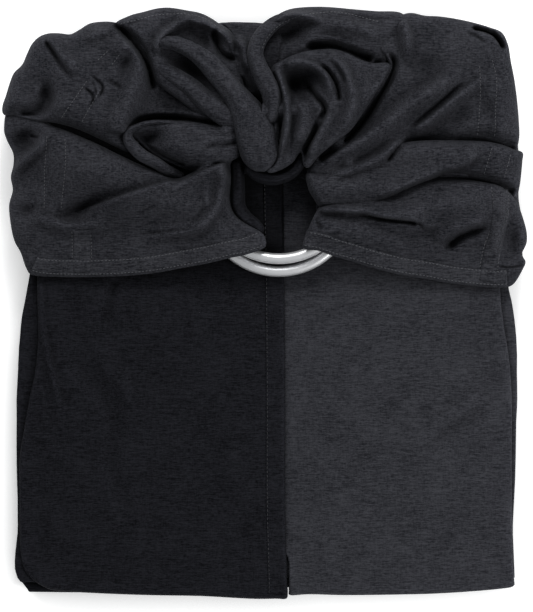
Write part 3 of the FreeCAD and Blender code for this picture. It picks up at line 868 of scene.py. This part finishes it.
# Each leg's front fold and its two sides, as y and x.
LEGS = {
    "left": {
        "front": -161.9,
        "left": [
            (-163, -133), (-158, -137), (-153, -141), (-146, -141.4), (-138, -140.6), (-128, -139.2),
            (-110, -139.2), (-90, -140.2), (-70, -140.4), (-55, -140.4), (-40, -139.6), (-25, -139),
            (-10, -137.6), (0, -135.6), (16, -132.4), (100, -131), (125, -128), (138, -121), (146, -108),
            (150, -94), (154, -70)],
        "right": [(-165, 1.6), (154, 1.6)]},
    "right": {
        "front": -159.5,
        "left": [(-165, 0.6), (154, 0.6)],
        "right": [
            (-161, 138), (-154, 140), (-144, 139.6), (-127, 139), (-100, 140.2), (-77, 141), (-55, 141.8),
            (-30, 141.6), (-18, 140.9), (-8, 139.8), (0, 138.6), (10, 136.2), (110, 133), (130, 130),
            (141, 124), (148, 114), (154, 96)]},
}
JOINT_Y = -100.0      # where the layers of the front turn end inside the pack
BACK = 152.4          # the pack's fold at the back
PACK_TOP = 17.72      # the flat top of the pack, under the top passes
TURNED_DOWN = 12.1    # how low the top passes reach over the front fold


def leg_stack(side):
    """The doubled layers of one leg below its top pass, and the turn that joins the two halves."""
    leg = LEGS[side]
    front, left, right = leg["front"], leg["left"], leg["right"]
    seed = 41 if side == "left" else 51
    slim = [(y, x + (1.2 if side == "left" else 0)) for y, x in left]
    trim = [(y, x - (1.2 if side == "right" else 0)) for y, x in right]
    parts = (
        ("lower_outer", (1.2, 8.4), (front + 4, JOINT_Y + 1), BACK, 2.1),
        ("lower_inner", (3.65, 5.95), (front + 7, front + 9), BACK - 5, 2.0),
        ("front_turn", (8.4, 10.85), (JOINT_Y - 0.5, JOINT_Y - 0.5), front, 1.6),
        ("upper_outer", (10.85, 16.65), (JOINT_Y + 1, front + 5), BACK - 1, 1.7),
        ("upper_inner", (12.8, 14.7), (front + 6, front + 7), BACK - 5, 1.6))
    made = []
    for k, (name, levels, tail, turn, thick) in enumerate(parts):
        sides = (slim, trim) if "inner" in name else (left, right)
        section = arc_fold(levels, tail, turn)
        made.append(folded_sheet(side + "_" + name + "_layer", section, *sides, thick, seed + k))
    return made


def cover_floor(side):
    """How low a top pass reaches: flat on the pack, and down over its front fold."""
    front = LEGS[side]["front"]

    def low(xy):
        return np.where(xy[:, 1] > front + 4.6, PACK_TOP, TURNED_DOWN)
    return low


def left_leg_cover():
    """The top pass of the black leg, turned down over the front fold."""
    outline = runs(
        (18.9, 1.15, (8.5, 153), (10, 151), (10, 140.5), (10, 68), (10.5, 13), (11, -54.5), (11, -110.5)),
        (18.6, 1.4, (12, -152.5)), (17.2, 2.4, (12.5, -163)), (16.2, 3.4, (11.5, -166.5)),
        (16.2, 3.6, (6, -166.5), (-8.5, -166.5), (-36.5, -165), (-64.5, -164.5), (-92.5, -163.5),
        (-117, -162)), (16.6, 3.2, (-124, -160)), (17.2, 2.6, (-131, -155.5)),
        (17.6, 2.2, (-135.5, -149.5)), (17.8, 2, (-137.5, -140)), (18, 2, (-138, -128.5), (-138, -110.5),
        (-138, -88)), (18.1, 1.9, (-135.5, -71.5)), (18.4, 1.7, (-132.5, -54.5)), (18.7, 1.5, (-129, -37)),
        (18.9, 1.3, (-127.5, -18.5), (-128, 1), (-128, 18)), (18.9, 1.2, (-127.5, 68), (-127, 112.5),
        (-124.5, 128.5), (-119, 139.5), (-106.5, 144), (-92.5, 149.5), (-75.5, 152.5), (-59, 153)),
        (18.9, 1.15, (-3, 153)))
    folds = [
        ridge([(-127, 15.5), (-126, -4.5), (-124, -21), (-119, -42.5), (-114.5, -64.5), (-113.5, -82.5)],
            1.1, 3, 3.5, taper=(0.1, 0.5), crisp=0.3),
        ridge([(-85, 13.5), (-88, -4.5), (-88.5, -20)], -0.9, 5, 5, taper=(0.1, 0.5)),
        ridge([(-108, -18.5), (-105, -35.5), (-92.5, -51.5), (-85, -67.5), (-87, -87), (-80, -110),
            (-75.5, -135.5)], -0.9, 9, 7, taper=(0.2, 0.3)),
        ridge([(-97, -15.5), (-90, -33.5), (-79, -50), (-69, -70.5)], 0.8, 9, 7, taper=(0.3, 0.4)),
        ridge([(-7.5, -121.5), (-18.5, -135.5), (-34, -144)], -0.5, 8, 8, taper=(0.4, 0.4)),
        ridge([(-36.5, 6.5), (-64.5, -15.5), (-75.5, -28)], 0.6, 10, 10, taper=(0.3, 0.4))]
    return fold_piece("left_leg_cover_cloth", outline, folds, dome=0.2, reach=10,
                      floor=cover_floor("left"), seed=61, unevenness=0.22, step=2.0)


def right_leg_cover():
    """The top pass of the charcoal leg, turned down over the front fold."""
    outline = runs(
        (17.9, 0.7, (3, 151)), (18.5, 1.1, (4, 153)), (18.9, 1.1, (13.5, 153), (97.5, 153), (111.5, 151),
        (122, 146), (127.5, 137.5), (130.5, 118.5), (131, 68)), (18.9, 1.15, (131.5, 8.5), (133.5, -12.5),
        (136.5, -32.5), (138, -54.5), (138, -82.5)), (18.9, 1.2, (138, -116)), (18.5, 1.5, (138.5, -144)),
        (17.4, 2.4, (139.5, -155.5)), (16.4, 3.2, (139, -159.5)), (16.4, 3.5, (131, -161)),
        (16.3, 3.6, (114, -162.5), (97.5, -163.5), (83.5, -164), (47, -164.5), (25, -164)),
        (16.3, 3.4, (14, -164.5)), (16.8, 2.6, (13, -161.5)), (18.2, 1.4, (13, -152.5)),
        (18.4, 1.1, (12.5, -144)), (17.9, 0.7, (7, -133), (3, -110.5), (3, 1), (3, 140.5)))
    folds = [
        ridge([(130.5, -53.5), (114, -66), (97.5, -77), (81.5, -90.5)], -0.9, 8, 6, taper=(0.3, 0.4)),
        ridge([(123, -49), (105.5, -61.5), (89, -71.5)], 0.8, 8, 6, taper=(0.3, 0.4)),
        ridge([(68.5, -73.5), (54, -87), (40, -109.5)], -0.7, 7, 7, taper=(0.4, 0.4)),
        ridge([(17, -22.5), (33, -9), (51.5, 2)], -0.7, 8, 8, taper=(0.3, 0.4)),
        ridge([(128.5, -121.5), (119.5, -135.5), (114, -152.5)], -0.5, 6, 6, taper=(0.4, 0.4)),
        swell(19.5, -93.5, 12, 50, 0, -0.9)]
    return fold_piece("right_leg_cover_cloth", outline, folds, dome=0.2, reach=10,
                      floor=cover_floor("right"), seed=62, unevenness=0.22, step=2.0)


def yoke_turn():
    """The cloth at the back that turns up from the pack into the yoke."""
    section = [(152.9, 11.2), (154.3, 14.2), (155.2, 17.6), (154.6, 20.6), (152, 22.6), (147, 23.2)]
    sides = [[(140, x), (156, x)] for x in (-84, 112)]
    return folded_sheet("yoke_turn_cloth", spline(section, 0.9), *sides, 0.9, 71, uneven=0.4, columns=60)


# ---------------------------------------------------------------- hems, seams and stitches

def beside(path, offset):
    """A line moved to its left."""
    line = spline(path, 2.0)[:, :2]
    return line + left_of(line) * offset


LEFT_EDGE = [(-1, 30), (-10.5, 26.5), (-20, 24.5), (-33, 21.5), (-46.5, 19), (-60, 16.5), (-73.5, 15),
             (-92.5, 14), (-114.5, 14), (-127, 15), (-131.5, 16.5)]
RIGHT_EDGE = [(21, 30), (29.5, 28.5), (38, 25.5), (47, 23), (55, 20.5), (64, 18), (76.5, 15),
              (89.5, 13), (103, 10.5), (116, 9), (128, 8), (135.5, 8.5)]


def stitching(yoke, covers):
    """Hem strips, felled seams and every row of stitches."""
    made = {}

    def strip(name, path, width, surface, **how):
        made[name] = strip_piece(name, path, width, surface, **how)

    def sew(name, rows, surface, **how):
        made[name] = stitch_row(name, rows, surface, **how)

    everything = Surface(yoke.values())
    flaps = (("left", LEFT_EDGE, -1), ("right", RIGHT_EDGE, 1))
    on = {}
    for side, edge, way in flaps:
        flap, hem = yoke[side + "_flap_cloth"], side + "_flap_hem_strip"
        strip(hem, beside(edge, way * (HEM_W / 2 + 0.4)), HEM_W, Surface([flap]), thick=0.7, across=13)
        on[side] = Surface([flap, made[hem]])
    for side, edge, way in flaps:
        sew(side + "_flap_hem_stitches", [beside(edge, way * d) for d in (1.7, HEM_W - 0.5)], on[side])
    sew("left_seam_stitches", [
        [(-121.5, 92.5), (-122, 85), (-123, 72.5), (-123.5, 52)],
        [(-111.5, 91), (-111, 82), (-111.5, 72.5), (-114, 52)],
        [(-108, 39.5), (-108, 16.5)],
        [(-97.5, 40), (-97, 16)],
        [(-99, 123), (-107, 111), (-113.5, 102)],
        [(-90.5, 120), (-97, 108.5), (-103, 98)],
        [(-93.5, 134), (-87.5, 139.5)],
        [(-85.5, 131.5), (-81, 137.5)]], everything)
    sew("right_seam_stitches", [
        [(119, 131.5), (119.5, 115), (118, 92.5)],
        [(126, 86), (121.5, 71)],
        [(125.5, 64.5), (127, 51.5), (126, 42.5), (121.5, 29.5), (118.5, 11)],
        [(126, 135), (128.5, 124), (128, 109), (127.5, 92)],
        [(136.5, 82.5), (133, 69)],
        [(135, 62), (135.5, 51.5), (132, 38.5), (130.5, 27), (129, 11)]], everything)
    sew("back_hem_stitches", [
        [(-81.5, 154.5), (-71.5, 157), (-62, 159.5), (-51, 160.5), (-41, 160), (-33, 157.5), (-27.5, 153.5)],
        [(-2, 140.5), (1, 147), (9, 155), (19.5, 159), (36, 161.5), (48.5, 160), (63, 156)]], everything)
    strip("left_felled_seam_strip", [(-102.5, 40), (-102.5, 29), (-102.5, 16.5)], SEAM_W, on["left"],
          thick=0.3, lift=0.05)
    strip("right_felled_seam_strip", [(130.5, 62.5), (131, 50), (129, 37), (126, 25.5), (124, 11.5)],
          SEAM_W - 0.6, on["right"], thick=0.3, lift=0.05)
    black = covers["left_leg_cover_cloth"]
    edge = [(4, 150.5), (4, 68), (5, 13), (5.5, -54.5), (5.5, -110.5), (6.5, -152.5), (6.5, -163.5)]
    strip("left_cover_hem_strip", edge, 10.6, Surface([black]), thick=0.45, across=13, step=2.0)
    sew("left_cover_hem_stitches", [beside(edge, -HEM_W / 2 + 0.2)],
        Surface([black, made["left_cover_hem_strip"]]), pitch=2.4, length=1.5, radius=0.2)
    return made


# ---------------------------------------------------------------- materials

class Shader:
    """A new material, with short ways to add and link its nodes."""

    def __init__(self, name):
        self.material = bpy.data.materials.new(name)
        self.material.use_nodes = True
        self.tree = self.material.node_tree
        self.skin = self.tree.nodes["Principled BSDF"]
        self.place = self.add("ShaderNodeTexCoord").outputs["Object"]

    def add(self, kind, **values):
        node = self.tree.nodes.new(kind)
        for key, value in values.items():
            if key in node.inputs:
                node.inputs[key].default_value = value
            else:
                setattr(node, key, value)
        return node

    def link(self, start, node, slot):
        self.tree.links.new(start, node.inputs[slot])
        return node.outputs[0]

    def noise(self, stretch, scale, detail):
        """Noise drawn out along one direction, for the streaks of melange yarn."""
        drawn = self.link(self.place, self.add("ShaderNodeMapping", Scale=stretch), "Vector")
        return self.link(drawn, self.add("ShaderNodeTexNoise", Scale=scale, Detail=detail, Roughness=0.6), 0)

    def sum(self, how, a, b):
        node = self.add("ShaderNodeMath", operation=how)
        self.link(a, node, 0)
        if isinstance(b, float):
            node.inputs[1].default_value = b
        else:
            self.link(b, node, 1)
        return node.outputs[0]

    def spread(self, value, low, high, to_low, to_high):
        """A value moved from one range to another."""
        node = self.add("ShaderNodeMapRange")
        for slot, end in (("From Min", low), ("From Max", high), ("To Min", to_low), ("To Max", to_high)):
            node.inputs[slot].default_value = end
        return self.link(value, node, "Value")

    def tones(self, value, dark, light, low=0.0, high=1.0):
        node = self.add("ShaderNodeValToRGB")
        for end, place, colour in zip(node.color_ramp.elements, (low, high), (dark, light)):
            end.position = place
            end.color = (*colour, 1)
        return self.link(value, node, "Fac")

    def bump(self, height, strength, distance, below=None):
        node = self.add("ShaderNodeBump", Strength=strength, Distance=distance)
        if below:
            self.link(below, node, "Normal")
        return self.link(height, node, "Height")


def jersey(name, dark, light, sheen=0.03, painted_fold_light=0.55, shade=0.3, reach=0.018):
    """Melange single jersey: short streaks, fine ribs and a soft nap. Its colour also holds painted light:
    paler on ridges, darker in creases, and painted shade in hollows.
    """
    s = Shader(name)
    streaks = (((1, 9, 9), 150, 3, 0.36), ((1, 4.5, 4.5), 520, 2, 0.38), ((6, 1, 1), 260, 2, 0.16),
               ((1, 1, 1), 45, 2, 0.12))
    mix = None
    for stretch, scale, detail, share in streaks:
        part = s.sum("MULTIPLY", s.noise(stretch, scale, detail), share)
        mix = s.sum("ADD", mix, part) if mix else part
    # Painted highlight and shade: the colour is made paler where the mesh bends out in a ridge and darker
    # where it bends in a crease.
    painted_fold_tone = s.spread(s.add("ShaderNodeNewGeometry").outputs["Pointiness"], 0.42, 0.58, 1 - painted_fold_light, 1 + painted_fold_light)
    # Painted shade: the colour darkens where other cloth lies close, by ambient occlusion within reach.
    # Shade is the darkest share kept.
    hollow = s.add("ShaderNodeAmbientOcclusion", samples=6, Distance=reach).outputs["AO"]
    depth = s.spread(hollow, 0.25, 0.95, shade, 1.1)
    tone = s.add("ShaderNodeVectorMath", operation="SCALE")
    s.link(s.tones(mix, dark, light, 0.415, 0.595), tone, 0)
    s.link(s.sum("MULTIPLY", painted_fold_tone, depth), tone, "Scale")
    s.link(tone.outputs["Vector"], s.skin, "Base Color")
    s.skin.inputs["Roughness"].default_value = 0.9
    s.skin.inputs["Specular IOR Level"].default_value = 0.08
    s.skin.inputs["Sheen Weight"].default_value = sheen
    s.skin.inputs["Sheen Roughness"].default_value = 0.5
    s.skin.inputs["Sheen Tint"].default_value = (0.75, 0.78, 0.86, 1)
    nap = s.bump(s.noise((1, 1.4, 1), 120, 3), 0.22, 0.0009)
    s.link(s.bump(s.noise((1, 2.4, 2.4), 1500, 1), 0.35, 0.0003, nap), s.skin, "Normal")
    return s.material


def yarn(name, colour):
    """Sewing thread with the light twist of its plies."""
    s = Shader(name)
    band = s.noise((1, 1, 1), 900, 1)
    dark, light = [c * 0.75 for c in colour], [min(c * 1.25, 1) for c in colour]
    s.link(s.tones(band, dark, light), s.skin, "Base Color")
    s.skin.inputs["Roughness"].default_value = 0.6
    s.link(s.bump(band, 0.3, 0.0002), s.skin, "Normal")
    return s.material


def brushed_aluminium():
    """The satin metal of the rings."""
    s = Shader("ring_aluminium")
    band = s.noise((1, 1, 1), 240, 4)
    s.link(s.spread(band, 0, 1, 0.3, 0.42), s.skin, "Roughness")
    s.skin.inputs["Base Color"].default_value = (0.86, 0.865, 0.88, 1)
    s.skin.inputs["Metallic"].default_value = 0.75
    s.link(s.bump(band, 0.08, 0.0003), s.skin, "Normal")
    return s.material


def plain_floor():
    """A pale floor that glows evenly, with a painted contact shadow: it glows less where something lies
    close to it.
    """
    s = Shader("pale_floor")
    s.link(s.spread(s.noise((1, 1, 1), 60, 3), 0, 1, 0.9, 0.95), s.skin, "Roughness")
    s.skin.inputs["Base Color"].default_value = (0.93, 0.93, 0.93, 1)
    # Painted contact shadow: the glow drops where cloth lies close to the floor, by ambient occlusion.
    painted_contact_shadow = s.add("ShaderNodeAmbientOcclusion", samples=8, Distance=0.03).outputs["AO"]
    s.link(s.spread(painted_contact_shadow, 0.5, 1, 0.3, 1), s.skin, "Emission Color")
    s.skin.inputs["Emission Strength"].default_value = 0.7
    return s.material


# ---------------------------------------------------------------- put together

def dress(obj, material, body=None):
    obj.data.materials.append(material)
    if body:
        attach(obj, body)


grey_jersey = jersey("grey_jersey", (0.0045, 0.0048, 0.0066), (0.0320, 0.0327, 0.0385))
# The hem strips use a paler copy of the grey jersey, with weaker painted fold shading: painted light, as the
# flat hems catch more light than the gathered cloth.
painted_lit_hem_jersey = jersey("painted_lit_hem_jersey", (0.0060, 0.0063, 0.0084), (0.0390, 0.0398, 0.0460), painted_fold_light=0.12)
charcoal_jersey = jersey("charcoal_jersey", (0.0085, 0.0088, 0.0112), (0.0345, 0.0352, 0.0410))
# The black jersey's painted shade is much darker and reaches up to 40 mm, so the window under the knot and
# the cloth under the flaps are painted dark.
black_jersey = jersey("black_jersey", (0.0012, 0.0013, 0.0021), (0.0110, 0.0113, 0.0144), sheen=0.01,
                      shade=0.05, reach=0.04)
grey_thread = yarn("thread_grey", (0.050, 0.052, 0.059))
seam_thread = yarn("thread_seam", (0.040, 0.041, 0.047))
black_thread = yarn("thread_black", (0.0105, 0.011, 0.0135))

yoke = yoke_cloth()
yoke["yoke_under_layer"] = yoke_under_layer()
for name, path in SIDE_DRAPES.items():
    yoke[name] = rope_piece(name, path, around=28, strands=2, groove=0.06)
covers = {"left_leg_cover_cloth": left_leg_cover(), "right_leg_cover_cloth": right_leg_cover()}
sewn = stitching(yoke, covers)
for name, obj in yoke.items():
    if name in ("knot_under_roll", "inner_black_fold"):
        dress(obj, black_jersey, "yoke")
    else:
        dress(obj, grey_jersey, "yoke")
LEG_LOOKS = {"left": (black_jersey, "black_jersey"), "right": (charcoal_jersey, "charcoal_jersey")}
for side, (material, slot) in LEG_LOOKS.items():
    dress(covers[side + "_leg_cover_cloth"], material, "upper_pack")
    for obj in leg_stack(side):
        if "front_turn" in obj.name:
            dress(obj, material)
            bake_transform(obj)
        else:
            dress(obj, material, "lower_pack" if "lower" in obj.name else "upper_pack")
turn = yoke_turn()
dress(turn, grey_jersey)
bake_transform(turn)
for name, obj in sewn.items():
    body = "upper_pack" if "cover" in name else "yoke"
    if "stitches" in name and "cover" in name:
        dress(obj, black_thread, body)
    elif "stitches" in name:
        dress(obj, seam_thread if "seam" in name else grey_thread, body)
    elif "cover" in name:
        dress(obj, black_jersey, body)
    else:
        dress(obj, painted_lit_hem_jersey, body)

aluminium = brushed_aluminium()
for name in ("front_ring", "rear_ring"):
    ring = frame["nodes"][name]
    ring.data.materials.clear()
    ring.data.materials.append(aluminium)

# The CAD nodes that the pieces stand for: first those that come in a left and a right, then the others.
PAIRS = {
    "flap_cloth": "flap",
    "shoulder_cloth": "gather",
    "side_drape": "side_roll",
    "flap_hem_strip": "flap_hem",
    "flap_hem_stitches": "hem_threads",
    "felled_seam_strip": "felled_seam",
    "seam_stitches": "seam_threads",
    "leg_cover_cloth": "leg_cover",
    "lower_outer_layer": "leg_lower_folds",
    "upper_outer_layer": "leg_upper_folds",
}
for side in ("left_", "right_"):
    for piece, node in PAIRS.items():
        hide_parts(side + node)
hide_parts("ring_loop", "loop_bar_tack")
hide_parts("yoke_turn")
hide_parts("left_cover_hem")
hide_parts("left_cover_hem_thread")

# How each piece of cloth is held, its flat size in metres, what it lies on and what is sewn to it.
FLAP_RESTS = ["yoke_under_layer", "front_ring", "rear_ring"]
COVERS = ["left_leg_cover_cloth", "right_leg_cover_cloth"]
CLOTHS = [
    ("left_flap_cloth", (0.150, 0.078), "gathered", FLAP_RESTS, ["left_seam_stitches"]),
    ("left_shoulder_cloth", (0.115, 0.072), "gathered", ["yoke_under_layer", "left_flap_cloth"], []),
    ("left_leaf_cloth", (0.066, 0.029), "gathered", ["left_shoulder_cloth", "rear_ring"], []),
    ("left_leaf_lip", (0.074, 0.010), "gathered", ["left_leaf_cloth"], []),
    ("upper_left_lobe_cloth", (0.075, 0.060), "gathered", ["left_shoulder_cloth"], ["back_hem_stitches"]),
    ("centre_panel_cloth", (0.045, 0.048), "gathered", ["yoke_under_layer"], []),
    ("rope_upper", (0.105, 0.025), "gathered", ["rope_lower", "rear_ring"], []),
    ("rope_lower", (0.062, 0.022), "gathered", ["upper_left_lobe_cloth"], []),
    ("rope_centre", (0.068, 0.019), "gathered", ["centre_panel_cloth"], []),
    ("knot_right_cloth", (0.080, 0.068), "gathered", ["rear_ring", "upper_right_lobe_cloth"], []),
    ("knot_under_roll", (0.045, 0.013), "gathered", ["knot_right_cloth"], []),
    ("inner_black_fold", (0.052, 0.014), "gathered", ["left_flap_cloth"], []),
    ("upper_right_lobe_cloth", (0.090, 0.045), "gathered", ["centre_panel_cloth"], []),
    ("right_shoulder_cloth", (0.125, 0.092), "gathered", ["yoke_under_layer", "rear_ring"],
     ["right_seam_stitches"]),
    ("right_band_cloth", (0.125, 0.036), "gathered", ["right_shoulder_cloth", "front_ring"], []),
    ("right_flap_cloth", (0.130, 0.058), "gathered", FLAP_RESTS, []),
    ("yoke_under_layer", (0.275, 0.135), "laid", COVERS, []),
    ("yoke_turn_cloth", (0.196, 0.019), "folded", COVERS, []),
    ("left_side_drape", (0.100, 0.018), "hung", ["yoke_under_layer"], []),
    ("right_side_drape", (0.120, 0.017), "hung", ["yoke_under_layer"], []),
    ("left_flap_hem_strip", (0.135, 0.0105), "laid", ["left_flap_cloth"], ["left_flap_hem_stitches"]),
    ("right_flap_hem_strip", (0.128, 0.0105), "laid", ["right_flap_cloth"], ["right_flap_hem_stitches"]),
    ("left_felled_seam_strip", (0.024, 0.0105), "laid", ["left_flap_cloth"], []),
    ("right_felled_seam_strip", (0.057, 0.0105), "laid", ["right_flap_cloth"], []),
    ("left_cover_hem_strip", (0.318, 0.0112), "laid", ["left_leg_cover_cloth"], ["left_cover_hem_stitches"]),
    ("left_leg_cover_cloth", (0.140, 0.330), "folded", ["left_upper_outer_layer"], []),
    ("right_leg_cover_cloth", (0.137, 0.325), "folded", ["right_upper_outer_layer"], []),
]
LAYERS = (
    ("lower_outer", "lower_inner", (0.139, 0.560), (0.139, 0.560)),
    ("lower_inner", "lower_outer", (0.139, 0.590), (0.138, 0.590)),
    ("front_turn", "lower_outer", (0.139, 0.125), (0.138, 0.120)),
    ("upper_outer", "front_turn", (0.139, 0.555), (0.139, 0.555)),
    ("upper_inner", "upper_outer", (0.138, 0.595), (0.138, 0.595)),
)
for which, side in enumerate(("left_", "right_")):
    CLOTHS += [(side + layer + "_layer", flats[which], "folded", [side + below + "_layer"], [])
               for layer, below, *flats in LAYERS]

# ---------------------------------------------------------------- floor, light and camera

bpy.ops.mesh.primitive_grid_add(x_subdivisions=8, y_subdivisions=8, size=12, location=(0, 0, -0.0004))
ground = bpy.context.object
ground.name = "ground"
ground.data.materials.append(plain_floor())

world = bpy.data.worlds.new("studio")
bpy.context.scene.world = world
world.use_nodes = True
sky = world.node_tree.nodes["Background"]
sky.inputs["Color"].default_value = (0.965, 0.985, 1.0, 1)
sky.inputs["Strength"].default_value = 0.32


def soft_box(name, place, size, power):
    """A square light that faces the middle of the object."""
    light = bpy.data.lights.new(name, "AREA")
    light.shape = "SQUARE"
    light.size = size
    light.energy = power
    obj = bpy.data.objects.new(name, light)
    bpy.context.scene.collection.objects.link(obj)
    obj.location = place
    obj.rotation_euler = (-Vector(place)).to_track_quat("-Z", "Y").to_euler()


soft_box("key_light", (-1.5, 1.95, 1.6), 1.0, 31.5)
soft_box("back_light", (0.1, 1.15, 0.9), 0.4, 8.5)
soft_box("front_light", (0.75, -0.34, 0.62), 0.35, 6.2)

CAMERA_HEIGHT = 2.4
CLOTH_HEIGHT = 0.03
PICTURE_WIDTH = 0.2974
camera = bpy.data.cameras.new("camera")
camera.sensor_fit = "HORIZONTAL"
camera.lens = camera.sensor_width * (CAMERA_HEIGHT - CLOTH_HEIGHT) / PICTURE_WIDTH
camera_obj = bpy.data.objects.new("camera", camera)
camera_obj.location = (0.0005, -0.0022, CAMERA_HEIGHT)
bpy.context.scene.collection.objects.link(camera_obj)
bpy.context.scene.camera = camera_obj
bpy.context.scene.view_settings.view_transform = "Standard"
